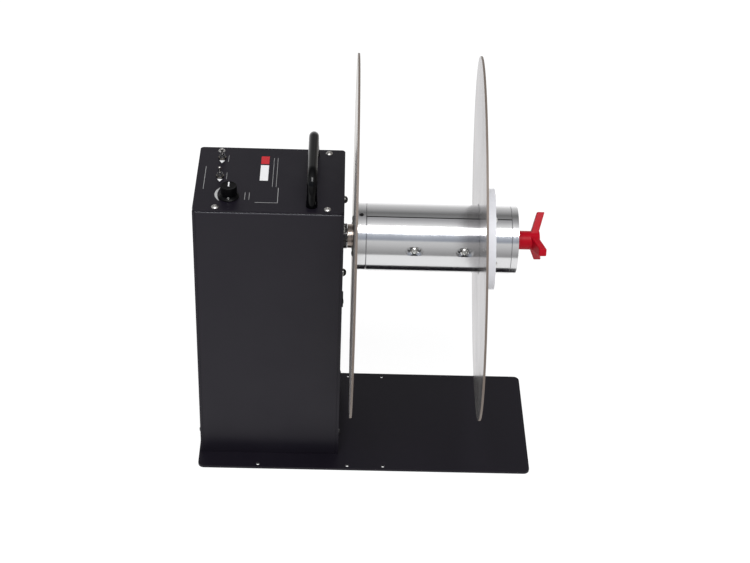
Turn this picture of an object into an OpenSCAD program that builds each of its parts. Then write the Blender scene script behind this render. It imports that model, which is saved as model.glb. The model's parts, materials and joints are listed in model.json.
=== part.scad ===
// Label rewinder: a steel cabinet on a base plate, with a motor-driven spindle that
// carries an expanding core chuck between two large discs.
// X runs along the spindle towards the chuck knob, Y to the back, Z up.
// The origin is the centre of the base plate's underside. All sizes are in millimetres.

/* [Base plate] */
// Length of the base plate along the spindle
base_l = 390; // [380:1:440]
// Depth of the base plate, front to back
base_d = 175; // [165:1:240]
// Thickness of the base plate
base_t = 3; // [2.5:0.5:6]
// Corner radius of the base plate
base_corner_r = 7; // [2:0.5:12]
// Diameter of the fixing holes in the base plate
base_hole_d = 4.5; // [3:0.1:6]
// Distance of the fixing holes from the long edges
base_hole_inset = 5.5; // [4:0.5:12]
// Distance of the first fixing hole from the left edge
base_hole_left = 70; // [20:1:80]
// Distance from the first fixing hole to the second
base_hole_pitch_long = 105; // [60:1:130]
// Distance from the second fixing hole to the third
base_hole_pitch_short = 42; // [20:1:60]

/* [Cabinet] */
// Width of the cabinet along the spindle
cab_w = 162; // [158:1:180]
// Depth of the cabinet, front to back
cab_d = 126; // [120:1:150]
// Height of the cabinet above the base plate
cab_h = 345; // [330:1:380]
// Distance of the cabinet from the base plate's left edge
cab_inset = 2; // [2:0.5:10]
// Thickness of the two side plates
side_t = 3; // [2:0.5:5]
// Thickness of the front and rear cover sheets
cover_t = 1.5; // [1:0.1:2]
// Width of the bent flanges on the covers
cover_flange_w = 14; // [12:0.5:20]
// Outer radius of the covers' top bend
cover_bend_r = 2.5; // [1.5:0.1:3]
// Gap at the seams between covers and side plates
seam_gap = 0.2; // [0.1:0.05:0.5]
// Width of the side plates' feet
side_foot_w = 16; // [14:0.5:24]
// Height of the side screws above the base plate
side_screw_h = 28; // [20:1:60]
// Thickness of the top panel
panel_t = 2; // [1.5:0.1:3]
// Corner radius of the top panel
panel_corner_r = 4; // [1:0.5:10]
// Distance of the panel screws from the cabinet's front and rear faces
panel_screw_inset = 7; // [6:0.5:9]
// Distance of the left panel screws from the cabinet's left face
panel_screw_left = 24; // [20:0.5:40]
// Distance of the right panel screws from the cabinet's right face
panel_screw_right = 18; // [16:0.5:24]

/* [Controls] */
// Distance of the torque knob's centre from the cabinet's left face
knob_left = 37.6; // [30:0.2:60]
// Distance of the torque knob's centre from the cabinet's front face
knob_front = 27; // [24:0.5:40]
// Diameter of the torque knob at its top
knob_d = 18; // [16:0.5:22]
// Diameter of the torque knob at its foot
knob_skirt_d = 22.5; // [18:0.5:26]
// Height of the torque knob
knob_h = 14.5; // [12:0.5:18]
// Distance of the toggle switches from the cabinet's left face
switch_left = 25.6; // [16:0.2:30]
// Distance of the direction switch from the cabinet's front face
direction_switch_front = 66; // [60:1:80]
// Distance of the torque range switch from the cabinet's front face
range_switch_front = 103.5; // [95:0.5:106]
// Length of a toggle lever above its pivot
lever_l = 12.5; // [8:0.5:16]
// Lean of a toggle lever to each side
lever_lean = 13; // [8:1:15]
// Height of the power switch above the base plate's underside
rocker_h = 186; // [150:1:210]
// Height of the power switch's bezel
rocker_bezel_h = 15; // [14:0.5:18]
// Width of the power switch's bezel
rocker_bezel_w = 10.5; // [10:0.5:14]
// Tilt of the power rocker to each side
rocker_tilt = 7; // [4:1:10]

/* [Carrying handle] */
// Distance of the handle from the cabinet's right face
handle_right = 35; // [30:1:70]
// Distance between the handle's legs
handle_pitch = 100; // [80:1:102]
// Height of the handle above the top panel
handle_h = 39.5; // [32:0.5:50]
// Diameter of the handle bar
handle_bar_d = 11; // [8:0.5:12]
// Diameter of the handle's feet
handle_foot_d = 13; // [12:0.5:16]
// Bend radius of the handle bar at its middle line
handle_bend_r = 19; // [12:1:22]

/* [Spindle and drive] */
// Height of the spindle above the base plate's underside
spindle_h = 275; // [270:1:285]
// Diameter of the spindle shaft
shaft_d = 15; // [12:0.5:17]
// Outer diameter of the spindle bearings
bearing_d = 32; // [30:0.5:35]
// Width of a spindle bearing
bearing_w = 9; // [7:0.5:11]
// Length of the bearing housing inside the cabinet
housing_l = 59; // [50:1:62]
// Diameter of the bearing housing's barrel
housing_d = 46; // [42:0.5:50]
// Side of the bearing housing's square flange
housing_flange = 74; // [70:1:76]
// Thickness of the bearing housing's flange
housing_flange_t = 8; // [6:0.5:10]
// Spacing of the four housing screws
housing_screw_pitch = 58.5; // [54:0.5:60]
// Diameter of the housing's nose outside the cabinet
nose_d = 28; // [24:0.5:30]
// Reach of the housing's nose beyond the cabinet
nose_reach = 4; // [2:0.5:6]
// Length of the collar between the bearing housing and the spindle pulley
shaft_collar_l = 4.4; // [3:0.2:5]
// Diameter of the spindle pulley under the belt
spindle_pulley_d = 60; // [40:1:64]
// Diameter of the motor pulley under the belt
motor_pulley_d = 24; // [20:1:30]
// Width of both pulleys
pulley_w = 16; // [14:0.5:18]
// Width of the belt
belt_w = 10; // [8:0.5:10]
// Thickness of the belt
belt_t = 1.6; // [1:0.1:2]
// Height of the motor's axis above the base plate's underside
motor_h = 120; // [80:1:140]
// Diameter of the motor
motor_d = 56; // [50:1:70]
// Length of the motor
motor_l = 58; // [40:1:60]
// Diameter of the motor's shaft
motor_shaft_d = 8; // [6:0.5:10]

/* [Discs] */
// Diameter of the two discs
disc_d = 406.4; // [300:0.2:430]
// Thickness of the two discs
disc_t = 2.4; // [1.5:0.1:4]
// Gap between the cabinet and the inner disc
disc_gap = 11; // [10:0.5:16]
// Distance of the outer disc from the cabinet
outer_disc_gap = 151.2; // [60:0.2:170]
// Diameter of the hub ring on the outer disc
hub_ring_d = 113; // [100:0.5:130]
// Thickness of the hub ring on the outer disc
hub_ring_t = 15; // [5:0.2:20]
// Lean of the loose outer disc towards the cabinet at its top
outer_lean_top = 2.4; // [0:0.1:2.6]
// Lean of the loose outer disc away from the cabinet at its back
outer_lean_back = 1.5; // [0:0.1:1.6]

/* [Chuck] */
// Outer diameter of the chuck with its jaws in
chuck_d = 75.6; // [72:0.1:80]
// Travel of each jaw
jaw_travel = 0.75; // [0.3:0.05:0.8]
// Turn of the knob over the jaws' whole travel
knob_turn = 75; // [50:1:80]
// Length of the rear collar
collar_l = 11.6; // [10:0.2:16]
// Length of the space for the jaws
jaw_space = 160.5; // [140:0.5:170]
// Length of the end cap
end_cap_l = 7.5; // [6:0.5:10]
// Wall of the jaws
jaw_wall = 7.4; // [6.5:0.1:7.8]
// Width of the slits between the jaws
slit_w = 1.2; // [0.6:0.1:3]
// Angle of the first jaw's middle above the front
jaw_angle = 10.5; // [0:0.5:25]
// Length of the oval screw slots in the jaws
slot_l = 20; // [16:0.5:24]
// Width of the oval screw slots in the jaws
slot_w = 10.5; // [10:0.1:12]
// Distance of the first slot from the jaw's rear end
slot_first = 53; // [45:0.5:56]
// Distance between a jaw's two slots
slot_pitch = 55.5; // [45:0.5:60]
// Diameter of the chuck core's bore
core_bore_d = 35; // [34:0.5:38]
// Diameter of the shaft that the knob turns
scroll_shaft_d = 14; // [12:0.5:15]
// Diameter of the pins that ride in the scroll grooves
scroll_pin_d = 4; // [3:0.1:4.4]
// Radius of the scroll pins from the axis, with the jaws in
scroll_pin_r = 12.5; // [12.2:0.1:13]

/* [Chuck knob] */
// Diameter of the knob's stem
stem_d = 21; // [19:0.5:26]
// Length of the knob's stem
stem_l = 26; // [22:0.5:29]
// Radius of the knob's arms at their tips
arm_reach = 32; // [26:0.5:34]
// Width of an arm at its tip
arm_tip_w = 8.5; // [6:0.5:11]
// Width of an arm at its root
arm_root_w = 17; // [12:0.5:17]
// Thickness of an arm
arm_t = 8; // [5:0.5:9]
// Distance along the stem to where the arms' inner faces meet the axis
arm_station = 14; // [12:0.5:15]
// Lean of the arms outwards
arm_lean = 16; // [10:1:20]
// Angle of the first arm above the front
arm_angle = 10; // [0:1:119]

/* [Fasteners] */
// Thread diameter of the larger screws
screw_d = 4; // [3:0.5:4]
// Head diameter of the larger screws
screw_head_d = 8; // [6:0.5:8]
// Head height of the larger screws
screw_head_h = 2; // [1:0.1:2]
// Head height of the side screws, within the cabinet's distance from the edge
side_head_h = 1.8; // [1:0.1:1.9]
// Thread diameter of the housing screws
housing_screw_d = 5; // [4:0.5:5]
// Head diameter of the housing screws
housing_screw_head_d = 9; // [8:0.5:10]
// Head height of the housing screws
housing_screw_head_h = 4.2; // [2:0.1:4.5]
// Thread diameter of the small screws
small_screw_d = 3; // [2:0.5:3]
// Head diameter of the small screws
small_head_d = 5.6; // [4.5:0.1:6]
// Clearance between pieces that turn or slide on each other
run_gap = 0.05; // [0.02:0.01:0.1]
// Clearance between pieces that pass without touching
pass_gap = 0.4; // [0.3:0.05:0.5]
// Clearance of fixed pieces in their seats
seat_gap = 0.02; // [0.01:0.01:0.05]

/* [Hidden] */
$fn = 64;

// Colours as the photo shows them
black_paint = [0.13, 0.13, 0.14];
black_plastic = [0.08, 0.08, 0.08];
bright_metal = [0.78, 0.78, 0.76];
dark_steel = [0.35, 0.35, 0.36];
red_plastic = [0.75, 0.08, 0.16];
white_plastic = [0.9, 0.9, 0.88];
board_green = [0.1, 0.35, 0.2];
rubber_black = [0.05, 0.05, 0.05];

// How far a cutting shape runs past the faces that it cuts
cut = 1;

// Levels and faces of the cabinet
base_top = base_t;
cab_top = base_t + cab_h;
panel_z = cab_top - panel_t;
cab_x0 = cab_inset - base_l / 2;
cab_x1 = cab_x0 + cab_w;
inner_x0 = cab_x0 + side_t;
inner_x1 = cab_x1 - side_t;
rear_y = cab_d / 2;
front_y = -rear_y;

// Fixing holes of the base plate
base_hole_y = base_d / 2 - base_hole_inset;
base_hole_x1 = base_hole_left - base_l / 2;
base_hole_x2 = base_hole_x1 + base_hole_pitch_long;
base_hole_x3 = base_hole_x2 + base_hole_pitch_short;

// Stations along the spindle, measured from the cabinet's right face
housing_u0 = -side_t - housing_l;
shaft_collar_gap = 0.3;
pulley_u1 = housing_u0 - shaft_collar_l - 2 * shaft_collar_gap;
pulley_u0 = pulley_u1 - pulley_w;
belt_u = (pulley_u0 + pulley_u1) / 2;
shaft_end = 4;
shaft_u0 = pulley_u0 - shaft_end;
shaft_collar_wall = 4.5;
shaft_collar_d = shaft_d + 2 * shaft_collar_wall;
spacer_wall = 2;
bearing_lip = 2;
front_bearing_u1 = -side_t - bearing_lip;
hub_u0 = nose_reach + pass_gap;
hub_step = 0.5;
hub_d = nose_d - 2 * hub_step;
disc_u0 = disc_gap;
disc_u1 = disc_u0 + disc_t;
collar_u1 = disc_u1 + collar_l;
core_web_l = 24;
shaft_grip = 15;
shaft_u1 = collar_u1 + shaft_grip;
cap_u0 = collar_u1 + jaw_space;
cap_u1 = cap_u0 + end_cap_l;
stem_u0 = cap_u1 + pass_gap;
stem_u1 = stem_u0 + stem_l;
stem_cap_t = 3;
arm_root_r = 2.4;

// Pulleys, motor and motor bracket, to the left of the belt
rim_t = 2;
rim_h = 3;
belt_gap = 0.3;
motor_drop = spindle_h - motor_h;
belt_tilt = asin((spindle_pulley_d - motor_pulley_d) / 2 / motor_drop);
belt_steps = 36;
bracket_t = 4;
bracket_gap = 5;
bracket_margin = 8;
bracket_half_d = motor_d / 2 + bracket_margin;
bracket_foot_l = 38;
bracket_u1 = pulley_u0 - bracket_gap;
bracket_u0 = bracket_u1 - bracket_t;
motor_boss_d = 22;
motor_boss_h = 2;
motor_screw_r = 20;
motor_screw_angles = [45, 135, 225, 315];
motor_screw_grip = 8;
motor_shaft_in = 20;
motor_shaft_out = 1;

// Screws that hold the side plates and the motor bracket down on the base plate
foot_screw_y = 40;
bracket_screw_y = 22;
countersink_land = 0.5;
countersink_h = base_t - countersink_land;
side_foot_screw_at = [
    for (x = [inner_x0 + side_foot_w / 2, inner_x1 - side_foot_w / 2])
        for (y = [-foot_screw_y, foot_screw_y])
            [x, y]
];
bracket_screw_at = [
    for (y = [-bracket_screw_y, bracket_screw_y])
        [cab_x1 + bracket_u1 + bracket_foot_l / 2, y]
];
base_screw_at = concat(side_foot_screw_at, bracket_screw_at);

// Screws through the side plates into the covers' side flanges
side_screw_y = rear_y - cover_t - cover_flange_w / 2;
side_screw_z = base_top + side_screw_h;
side_screw_past = 3;

// Places and fittings of the top panel
panel_screw_past = 3;
panel_screw_at = [
    for (x = [cab_x0 + panel_screw_left, cab_x1 - panel_screw_right])
        for (y = [front_y + panel_screw_inset, rear_y - panel_screw_inset])
            [x, y]
];
handle_x = cab_x1 - handle_right;
handle_screw_d = 5;
handle_screw_head_d = 9;
handle_screw_head_h = 3;
handle_screw_grip = 12;
knob_x = cab_x0 + knob_left;
knob_y = front_y + knob_front;
switch_x = cab_x0 + switch_left;
direction_switch_y = front_y + direction_switch_front;
range_switch_y = front_y + range_switch_front;
bush_d = 6;
bush_h = 4.6;
switch_nut_af = 8;
switch_nut_t = 1.8;
switch_body_size = [8, 13, 12];
lever_ball_d = 4.2;
lever_ball_gap = 0.15;
lever_neck_d = 2;
lever_tip_d = 3.2;
lever_pivot_h = 2.4;
pot_bush_d = 7.6;
pot_bush_h = 5;
pot_d = 22;
pot_l = 10;
pot_shaft_d = 6;
pot_shaft_in = 6;
pot_nut_af = 10;
pot_nut_t = 2;
knob_lift = 0.8;
knob_cap_t = 3;
knob_skirt_h = 5;

// Power inlet on the rear cover
inlet_left = 40;
inlet_rise = 34;
inlet_x = cab_x0 + inlet_left;
inlet_z = base_top + inlet_rise;
inlet_d = 11;
inlet_lip_d = 15;
inlet_lip_t = 2;
inlet_l = 18;
inlet_socket_d = 6.4;
inlet_socket_l = 10;
inlet_pin_d = 2;
inlet_pin_drop = 1.5;
inlet_nut_af = 14;
inlet_nut_t = 3;

// Power switch in the right side plate
bezel_t = 1.5;
bezel_lip = 1;
rocker_body_h = rocker_bezel_h - 2 * bezel_lip;
rocker_body_w = rocker_bezel_w - 2 * bezel_lip;
rocker_body_l = 14;
rocker_wall = 0.9;
rocker_pivot = 1.5;
rocker_rise = 2.6;
rocker_pin_d = 1.6;
rocker_pin_end = 0.2;
pocket_h = rocker_body_h - 2 * rocker_wall;
pocket_w = rocker_body_w - 2 * rocker_wall;
rocker_r = pocket_h / 2 - pass_gap;

// Circuit board on the left side plate
board_d = 80;
board_h = 100;
board_t = 1.6;
board_drop = 35;
board_inset = 6;
board_z = spindle_h - board_drop;
standoff_l = 8;
standoff_d = 6;
board_x = inner_x0 + standoff_l;
board_screw_grip = 5;
small_head_h = 1.8;
board_screw_at = [
    for (y = [-1, 1])
        for (z = [-1, 1])
            [y * (board_d / 2 - board_inset), board_z + z * (board_h / 2 - board_inset)]
];

// Chuck: jaws, core and the scrolls that drive the jaws
jaw_share = 120;
jaw_angles = [for (i = [0:2]) jaw_angle + i * jaw_share];
jaw_slit_angles = [for (a = jaw_angles) a + jaw_share / 2];
chuck_r = chuck_d / 2;
jaw_inner_r = chuck_r - jaw_wall;
core_r = jaw_inner_r - pass_gap;
core_bore_r = core_bore_d / 2;
jaw_end_gap = 0.3;
jaw_u0 = collar_u1 + jaw_end_gap;
jaw_l = jaw_space - 2 * jaw_end_gap;
slot_at = [slot_first, slot_first + slot_pitch];
slot_ledge = 2.7;
jaw_screw_d = 5;
jaw_screw_head_d = slot_w - 2 * pass_gap;
jaw_screw_sunk = 0.4;
jaw_screw_head_h = jaw_wall - slot_ledge - jaw_travel - pass_gap - jaw_screw_sunk;
jaw_screw_seat_r = jaw_inner_r + slot_ledge + jaw_travel + pass_gap;
jaw_screw_end = 2;
jaw_screw_l = jaw_screw_seat_r - core_bore_r - jaw_screw_end;
shank_slot_w = jaw_screw_d + 2 * pass_gap;
shank_slot_l = slot_l - slot_w + shank_slot_w;
foot_l = 9;
foot_w = 9;
foot_below_pin = 0.8;
foot_inner_r = scroll_pin_r - scroll_pin_d / 2 - foot_below_pin;
scroll_t = 6;
scroll_gap = 0.5;
scroll_wall = 1;
scroll_r = core_bore_r - scroll_wall;
scroll_rear_room = 4;
scroll_front_room = 14;
scroll_at = [
    collar_u1 + core_web_l + foot_l + scroll_rear_room,
    cap_u0 - scroll_t - scroll_front_room
];
groove_play = 0.25;
groove_w = scroll_pin_d + 2 * groove_play;
groove_over = 12;
groove_steps = 14;
journal_step = 1.5;
journal_d = scroll_shaft_d - 2 * journal_step;
core_screw_r = (core_bore_r + core_r) / 2;
core_screw_grip = 12;
core_screw_angles = [0, 90, 180, 270];
cap_screw_drop = 0.5;
cap_screw_sink = screw_head_h + cap_screw_drop;
set_screw_d = 5;
set_screw_angle = 74;
set_screw_sink = 0.6;
set_screw_key_d = 2.5;
set_screw_key_l = 2.5;

// Loose outer disc and its hub ring: the bore clears the opened jaws even when it leans
outer_lean = acos(cos(outer_lean_top) * cos(outer_lean_back));
outer_hub_l = disc_t + hub_ring_t;
flange_play = 0.3;
outer_bore_r = (chuck_r + jaw_travel) / cos(outer_lean) + outer_hub_l * tan(outer_lean) + flange_play;
flange_screw_r = (outer_bore_r + hub_ring_d / 2) / 2;
flange_screw_angles = [for (i = [0:5]) i * 60];

// Station of a jaw foot's rear end, behind its scroll disc
function foot_station(u) = u - scroll_gap - foot_l;

// A point beside the spiral that a scroll pin follows as the knob turns
function groove_point(a, side) =
    (scroll_pin_r + jaw_travel * a / knob_turn + side) * [cos(a), sin(a)];

// Points of a belt's run round both pulleys, at a distance outside them
function belt_points(out) = concat(
    wrap_points(0, spindle_pulley_d / 2 + out, 90 - belt_tilt, 270 + belt_tilt),
    wrap_points(motor_drop, motor_pulley_d / 2 + out, belt_tilt - 90, 90 - belt_tilt)
);

// Points along an arc round an axis at a distance below the spindle
function wrap_points(drop, r, from, to) = [
    for (i = [0:belt_steps])
        let (a = from + i * (to - from) / belt_steps)
            [drop + r * cos(a), r * sin(a)]
];

// A plate outline with rounded corners, centred on the origin
module rounded_outline(l, d, r) {
    square([l - 2 * r, d], center = true);
    square([l, d - 2 * r], center = true);
    for (x = [-1, 1])
        for (y = [-1, 1])
            translate([x * (l / 2 - r), y * (d / 2 - r)])
                circle(r);
}

// An oval outline along the first axis
module oval_outline(l, w) {
    square([l - w, w], center = true);
    for (x = [-1, 1])
        translate([x * (l - w) / 2, 0])
            circle(d = w);
}

// A box between two corners
module span(low, high) {
    translate(low)
        cube(high - low);
}

// Places children drawn along local Z on the spindle axis, from a station on it
module along_spindle(u) {
    translate([cab_x1 + u, 0, spindle_h])
        rotate([0, 90, 0])
            children();
}

// Places children drawn along local Z on the motor axis, from a station on it
module along_motor(u) {
    translate([cab_x1 + u, 0, motor_h])
        rotate([0, 90, 0])
            children();
}

// Turns children about the spindle so that local X points out at an angle above the front
module at_elevation(angle) {
    rotate([0, 0, 270 - angle])
        children();
}

// Places children at the four corners of a square on the spindle axis
module housing_screw_places() {
    for (x = [-1, 1])
        for (y = [-1, 1])
            translate([x * housing_screw_pitch / 2, y * housing_screw_pitch / 2, 0])
                children();
}

// Places children on a circle round the spindle
module round_spindle(r, angles) {
    for (a = angles)
        at_elevation(a)
            translate([r, 0, 0])
                children();
}

// A hole along local Z, from a depth up to past a face
module hole(d, l) {
    translate([0, 0, -cut])
        cylinder(d = d, h = l + 2 * cut);
}

// A tube along local Z
module tube(outer_d, inner_d, l) {
    difference() {
        cylinder(d = outer_d, h = l);
        hole(inner_d, l);
    }
}

// A round-headed screw that points down, with the underside of its head at the origin
module pan_screw(d, head_d, head_h, l) {
    crown_r = (head_d * head_d / 4 + head_h * head_h) / (2 * head_h);
    translate([0, 0, -l])
        cylinder(d = d, h = l + head_h / 2);
    intersection() {
        translate([0, 0, head_h - crown_r])
            sphere(crown_r);
        cylinder(d = head_d, h = head_h);
    }
}

// A round-headed screw with a cross recess
module cross_screw(d, head_d, head_h, l) {
    recess_l = head_d / 2;
    recess_w = head_d / 8;
    difference() {
        pan_screw(d, head_d, head_h, l);
        for (a = [0, 90])
            rotate([0, 0, a])
                translate([0, 0, head_h])
                    cube([recess_l, recess_w, head_h], center = true);
    }
}

// A six-sided nut along local Z
module hex_nut(af, hole_d, t) {
    difference() {
        cylinder(d = af / cos(30), h = t, $fn = 6);
        hole(hole_d, t);
    }
}

module base_plate() {
    color(black_paint)
        difference() {
            linear_extrude(base_t)
                rounded_outline(base_l, base_d, base_corner_r);
            for (x = [base_hole_x1, base_hole_x2, base_hole_x3])
                for (y = [-base_hole_y, base_hole_y])
                    translate([x, y, 0])
                        hole(base_hole_d, base_t);
            for (p = base_screw_at)
                translate([p[0], p[1], 0]) {
                    hole(screw_d + 2 * seat_gap, base_t);
                    cylinder(
                        d1 = screw_head_d + 2 * seat_gap,
                        d2 = screw_d + 2 * seat_gap,
                        h = countersink_h
                    );
                }
        }
}

module base_screws() {
    color(dark_steel)
        for (p = base_screw_at)
            translate([p[0], p[1], 0]) {
                cylinder(d1 = screw_head_d, d2 = screw_d, h = countersink_h);
                cylinder(d = screw_d, h = base_t + side_t);
            }
}

// A side plate with a foot bent inwards: side is -1 for the left plate and 1 for the right
module side_plate(side) {
    outer_x = side < 0 ? cab_x0 : cab_x1;
    inner_x = outer_x - side * side_t;
    foot_x = inner_x - side * side_foot_w;
    foot_y = rear_y - cover_t - seam_gap;
    difference() {
        union() {
            span(
                [min(outer_x, inner_x), front_y, base_top],
                [max(outer_x, inner_x), rear_y, panel_z]
            );
            span(
                [min(outer_x, foot_x), -foot_y, base_top],
                [max(outer_x, foot_x), foot_y, base_top + side_t]
            );
        }
        for (p = side_foot_screw_at)
            translate([p[0], p[1], base_top])
                hole(screw_d + 2 * seat_gap, side_t);
        for (y = [-side_screw_y, side_screw_y])
            translate([min(outer_x, inner_x), y, side_screw_z])
                rotate([0, 90, 0])
                    hole(screw_d + 2 * seat_gap, side_t);
    }
}

module left_side_plate() {
    color(black_paint)
        side_plate(-1);
}

module right_side_plate() {
    color(black_paint)
        difference() {
            side_plate(1);
            along_spindle(-side_t) {
                hole(nose_d + 2 * seat_gap, side_t);
                housing_screw_places()
                    hole(housing_screw_d + 2 * seat_gap, side_t);
            }
            translate([cab_x1, 0, rocker_h])
                cube(
                    [3 * side_t, rocker_body_w + 2 * seat_gap, rocker_body_h + 2 * seat_gap],
                    center = true
                );
        }
}

// The bent outline of a cover: an upright sheet with a flange at its top
module cover_outline() {
    difference() {
        union() {
            translate([0, base_top])
                square([cover_t, panel_z - base_top]);
            translate([0, panel_z - cover_t])
                square([cover_t + cover_flange_w, cover_t]);
        }
        difference() {
            translate([-cut, panel_z - cover_bend_r])
                square([cut + cover_bend_r, cover_bend_r + cut]);
            translate([cover_bend_r, panel_z - cover_bend_r])
                circle(cover_bend_r);
        }
    }
}

// A cover between the side plates at the front, with side flanges and its screw holes
module cover_sheet() {
    x0 = inner_x0 + seam_gap;
    x1 = inner_x1 - seam_gap;
    flange_y = front_y + cover_t + cover_flange_w;
    flange_z0 = base_top + side_t + cover_t;
    flange_z1 = panel_z - 2 * cover_flange_w;
    difference() {
        union() {
            translate([x0, front_y, 0])
                rotate([90, 0, 90])
                    linear_extrude(x1 - x0)
                        cover_outline();
            span([x0, front_y, flange_z0], [x0 + cover_t, flange_y, flange_z1]);
            span([x1 - cover_t, front_y, flange_z0], [x1, flange_y, flange_z1]);
        }
        for (x = [x0, x1 - cover_t])
            translate([x, -side_screw_y, side_screw_z])
                rotate([0, 90, 0])
                    hole(screw_d + 2 * seat_gap, cover_t);
        for (p = panel_screw_at)
            if (p[1] < 0)
                translate([p[0], p[1], panel_z - cover_t])
                    hole(screw_d + 2 * seat_gap, cover_t);
    }
}

// Room below the top panel for the controls and the handle's screw heads
module panel_fitting_room() {
    room = 2 * pass_gap;
    translate([knob_x, knob_y, panel_z - pot_l - pass_gap])
        cylinder(d = pot_d + room, h = pot_l + pass_gap + cut);
    for (y = [direction_switch_y, range_switch_y])
        translate([switch_x, y, panel_z])
            cube(
                [switch_body_size[0] + room, switch_body_size[1] + room, 2 * switch_body_size[2] + room],
                center = true
            );
    for (y = [-handle_pitch / 2, handle_pitch / 2])
        translate([handle_x, y, panel_z - handle_screw_head_h - pass_gap])
            cylinder(d = handle_screw_head_d + room, h = handle_screw_head_h + pass_gap + cut);
}

module front_cover() {
    color(black_paint)
        difference() {
            cover_sheet();
            panel_fitting_room();
        }
}

module rear_cover() {
    color(black_paint)
        difference() {
            mirror([0, 1, 0])
                cover_sheet();
            panel_fitting_room();
            translate([inlet_x, rear_y - cover_t, inlet_z])
                rotate([-90, 0, 0])
                    hole(inlet_d + 2 * seat_gap, cover_t);
        }
}

module side_screws() {
    color(dark_steel)
        for (y = [-side_screw_y, side_screw_y]) {
            translate([cab_x0, y, side_screw_z])
                rotate([0, -90, 0])
                    cross_screw(screw_d, screw_head_d, side_head_h, side_t + cover_t + side_screw_past);
            translate([cab_x1, y, side_screw_z])
                rotate([0, 90, 0])
                    cross_screw(screw_d, screw_head_d, side_head_h, side_t + cover_t + side_screw_past);
        }
}

module top_panel() {
    color(black_paint)
        difference() {
            translate([(cab_x0 + cab_x1) / 2, 0, panel_z])
                linear_extrude(panel_t)
                    rounded_outline(cab_w, cab_d, panel_corner_r);
            for (p = panel_screw_at)
                translate([p[0], p[1], panel_z])
                    hole(screw_d + 2 * seat_gap, panel_t);
            translate([knob_x, knob_y, panel_z])
                hole(pot_bush_d + 2 * seat_gap, panel_t);
            for (y = [direction_switch_y, range_switch_y])
                translate([switch_x, y, panel_z])
                    hole(bush_d + 2 * seat_gap, panel_t);
            for (y = [-handle_pitch / 2, handle_pitch / 2])
                translate([handle_x, y, panel_z])
                    hole(handle_screw_d + 2 * seat_gap, panel_t);
        }
}

module top_panel_screws() {
    color(bright_metal)
        for (p = panel_screw_at)
            translate([p[0], p[1], cab_top])
                cross_screw(screw_d, screw_head_d, screw_head_h, panel_t + cover_t + panel_screw_past);
}

// A bow of round bar: two legs, two bends and a grip
module carry_handle() {
    leg_l = handle_h - handle_bar_d / 2 - handle_bend_r;
    bend_y = handle_pitch / 2 - handle_bend_r;
    color(black_plastic)
        translate([handle_x, 0, cab_top])
            difference() {
                union() {
                    for (side = [-1, 1]) {
                        translate([0, side * handle_pitch / 2, 0])
                            cylinder(d1 = handle_foot_d, d2 = handle_bar_d, h = leg_l);
                        translate([0, side * bend_y, leg_l])
                            rotate([90, 0, 90])
                                mirror([side < 0 ? 1 : 0, 0, 0])
                                    rotate_extrude(angle = 90)
                                        translate([handle_bend_r, 0])
                                            circle(d = handle_bar_d);
                    }
                    translate([0, -bend_y, leg_l + handle_bend_r])
                        rotate([-90, 0, 0])
                            cylinder(d = handle_bar_d, h = 2 * bend_y);
                }
                for (side = [-1, 1])
                    translate([0, side * handle_pitch / 2, -cut])
                        cylinder(d = handle_screw_d + 2 * seat_gap, h = handle_screw_grip + cut);
            }
}

module handle_screws() {
    color(dark_steel)
        for (y = [-handle_pitch / 2, handle_pitch / 2])
            translate([handle_x, y, panel_z])
                mirror([0, 0, 1])
                    cross_screw(
                        handle_screw_d,
                        handle_screw_head_d,
                        handle_screw_head_h,
                        panel_t + handle_screw_grip
                    );
}

module bearing_housing() {
    color(dark_steel)
        difference() {
            union() {
                along_spindle(housing_u0)
                    cylinder(d = housing_d, h = housing_l);
                along_spindle(-side_t - housing_flange_t)
                    linear_extrude(housing_flange_t)
                        square(housing_flange, center = true);
                along_spindle(-side_t)
                    cylinder(d = nose_d, h = side_t + nose_reach);
            }
            along_spindle(housing_u0 - cut)
                cylinder(d = bearing_d + 2 * seat_gap, h = housing_l - bearing_lip + cut);
            along_spindle(housing_u0)
                hole(shaft_d + 2 * pass_gap, housing_l + side_t + nose_reach);
            along_spindle(-side_t - housing_flange_t)
                housing_screw_places()
                    hole(housing_screw_d + 2 * seat_gap, housing_flange_t);
        }
}

module housing_screws() {
    color(dark_steel)
        along_spindle(0)
            housing_screw_places()
                cross_screw(
                    housing_screw_d,
                    housing_screw_head_d,
                    housing_screw_head_h,
                    side_t + housing_flange_t
                );
}

// A sealed ball bearing, drawn as one ring
module spindle_bearing(u) {
    color(bright_metal)
        along_spindle(u)
            tube(bearing_d, shaft_d + 2 * run_gap, bearing_w);
}

module front_bearing() {
    spindle_bearing(front_bearing_u1 - bearing_w);
}

module rear_bearing() {
    spindle_bearing(housing_u0);
}

module motor_bracket() {
    x0 = cab_x1 + bracket_u0;
    x1 = cab_x1 + bracket_u1;
    color(dark_steel)
        difference() {
            union() {
                span([x0, -bracket_half_d, base_top], [x1, bracket_half_d, motor_h + bracket_half_d]);
                span(
                    [x0, -bracket_half_d, base_top],
                    [x1 + bracket_foot_l, bracket_half_d, base_top + bracket_t]
                );
            }
            along_motor(bracket_u0) {
                hole(motor_boss_d + 2 * seat_gap, bracket_t);
                round_spindle(motor_screw_r, motor_screw_angles)
                    hole(small_screw_d + 2 * seat_gap, bracket_t);
            }
            for (p = bracket_screw_at)
                translate([p[0], p[1], base_top])
                    hole(screw_d + 2 * seat_gap, bracket_t);
        }
}

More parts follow.
